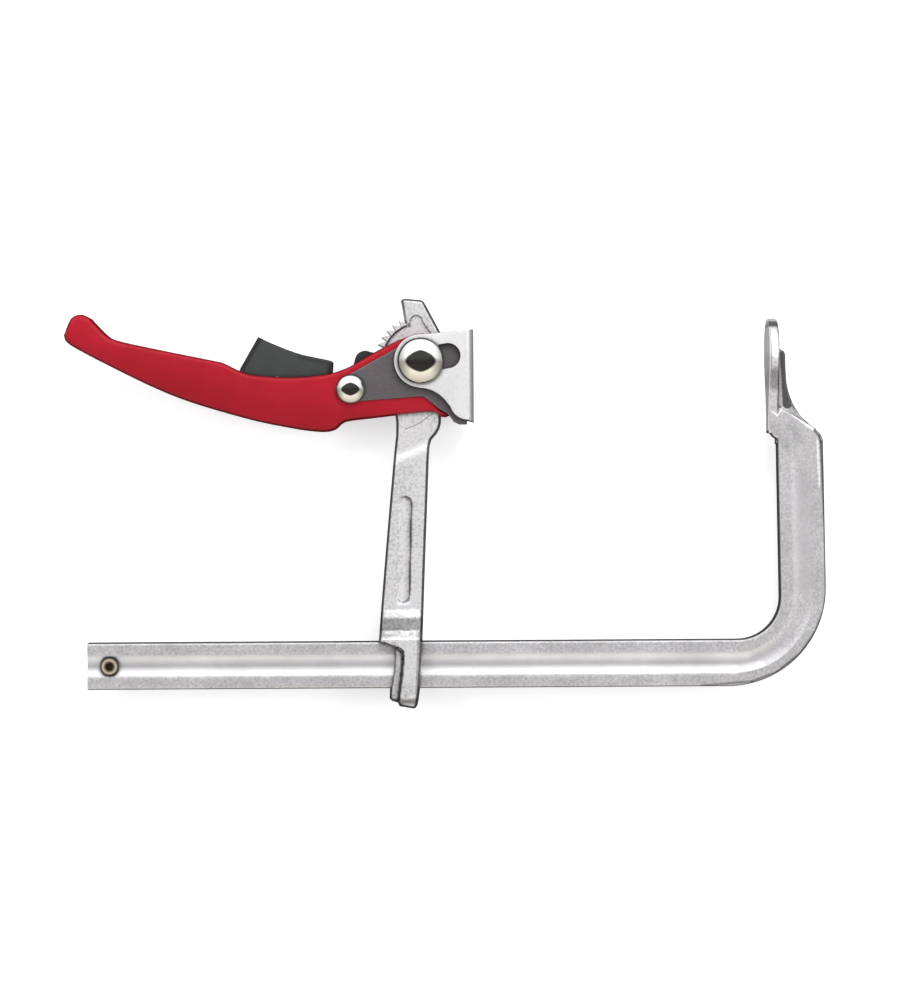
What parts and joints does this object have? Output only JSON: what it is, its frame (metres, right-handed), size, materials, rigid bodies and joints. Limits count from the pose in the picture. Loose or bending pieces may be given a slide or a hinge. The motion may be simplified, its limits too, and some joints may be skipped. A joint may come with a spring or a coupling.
{
  "type": "ratchet bar clamp",
  "caption": "Steel bar clamp with a fixed bent jaw and a sliding arm, tightened by a red ratchet lever that pushes a flat pressure plate.",
  "frame": {"origin": "middle of the fixed jaw's flat face, in the bar's mid plane", "axes": "+X along the rail towards the fixed jaw, +Y from the rail up to the jaws, +Z out of the clamp's side, towards the camera of the picture"},
  "size_m": [0.3411, 0.1846, 0.0374],
  "materials": {
    "plated_bar": "zinc plated, fine grained, satin",
    "plated_forging": "zinc plated forging, fine grained, satin",
    "plated_sheet": "bright plated sheet, brushed",
    "nickel_rivet": "nickel plated, polished",
    "dark_steel": "dark phosphated, satin",
    "black_steel": "blackened",
    "red_handle": "smooth, glossy",
    "black_plastic": "fine matt",
    "brass": "yellow plated, satin",
    "bronze": "plain bronze",
    "grey_washer": "plain steel",
    "steel_pin": "bright steel"
  },
  "bodies": {
    "rail": {"rail_with_fixed_arm": "plated_bar", "stop_screw": "brass", "stop_sleeve_nut": "brass"},
    "arm": {"sliding_arm": "plated_forging", "thrust_washer_front": "bronze", "thrust_washer_rear": "bronze"},
    "lever": {"lever_plate_front": "dark_steel", "lever_plate_rear": "dark_steel", "handle": "red_handle", "pawl_pin": "nickel_rivet", "pawl_washer_front": "grey_washer", "pawl_washer_rear": "grey_washer", "pawl_spring": "steel_pin"},
    "pawl_body": {"pawl": "black_steel", "release_button": "black_plastic", "button_pin": "steel_pin"},
    "axle": {"lever_axle": "nickel_rivet", "ear_washer_front": "grey_washer", "ear_washer_rear": "grey_washer"},
    "plate": {"pressure_plate": "plated_sheet"}
  },
  "joints": [
    {"name": "arm_slide", "type": "slide", "parent": "rail", "child": "arm", "axis": [1, 0, 0], "range_m": [-0.1224, 0.1276]},
    {"name": "lever_hinge", "type": "hinge", "parent": "arm", "child": "lever", "pos_m": [-0.1557, 0.001, 0], "axis": [0, 0, 1], "range_deg": [-50, 0]},
    {"name": "pawl_hinge", "type": "hinge", "parent": "lever", "child": "pawl_body", "pos_m": [-0.1872, -0.0113, 0], "axis": [0, 0, 1], "range_deg": [-5.5, 3], "stiffness_Nm_per_rad": 1, "deforming": ["pawl_spring"]},
    {"name": "plate_swivel", "type": "hinge", "parent": "arm", "child": "axle", "pos_m": [-0.1557, 0.001, 0], "axis": [0, 0, 1], "range_deg": [0, 8]},
    {"name": "plate_push", "type": "slide", "parent": "axle", "child": "plate", "axis": [0.9839, 0.1788, 0], "range_m": [-0.0055, 0]}
  ],
  "couplings": [
    {"joint": "plate_push", "follows": "lever_hinge", "m_per_rad": 0.0063025}
  ]
}
